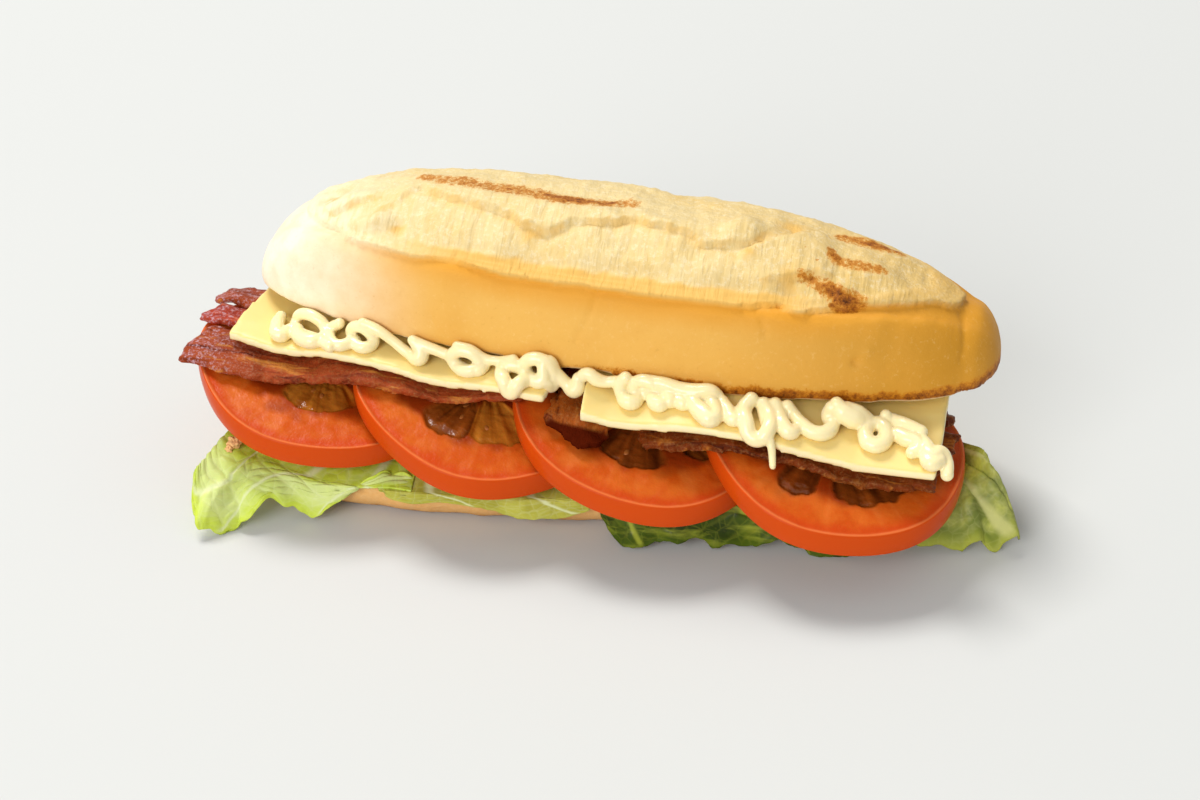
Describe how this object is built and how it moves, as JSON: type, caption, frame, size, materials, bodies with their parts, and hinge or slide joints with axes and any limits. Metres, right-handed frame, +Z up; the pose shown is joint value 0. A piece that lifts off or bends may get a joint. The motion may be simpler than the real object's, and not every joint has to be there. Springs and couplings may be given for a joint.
{
  "type": "blt sandwich",
  "caption": "Long crusty roll cut open and filled with lettuce, fanned tomato slices, fried bacon, sliced cheese and piped mayonnaise.",
  "frame": {"origin": "middle of the bounding box seen from above, on the surface the sandwich stands on", "axes": "+X along the roll towards the end where the lower leaf sticks out, -Y towards the side the fillings show on, +Z up"},
  "size_m": [0.2302, 0.1048, 0.0782],
  "materials": {
    "crust": "golden baked crust, floury where it burst",
    "crumb": "golden baked crust of the lower half, pale cut face",
    "lettuce": "fresh leaf, softly glossy",
    "tomato": "wet cut slice with glossy skin",
    "bacon": "fried, greasy",
    "cheese": "smooth, slightly waxy",
    "mayonnaise": "glossy, creamy"
  },
  "bodies": {
    "root": {"bun_top": "crust", "bun_bottom": "crumb", "lettuce_left": "lettuce", "lettuce_middle": "lettuce", "lettuce_front_right": "lettuce", "lettuce_far_right": "lettuce", "lettuce_back": "lettuce", "tomato_1": "tomato", "tomato_2": "tomato", "tomato_3": "tomato", "tomato_4": "tomato", "bacon_front_left": "bacon", "bacon_red_left": "bacon", "bacon_back_left": "bacon", "bacon_middle": "bacon", "bacon_front_right": "bacon", "bacon_back_right": "bacon", "cheese_left": "cheese", "cheese_right": "cheese", "mayo_left": "mayonnaise", "mayo_right": "mayonnaise"}
  },
  "joints": []
}
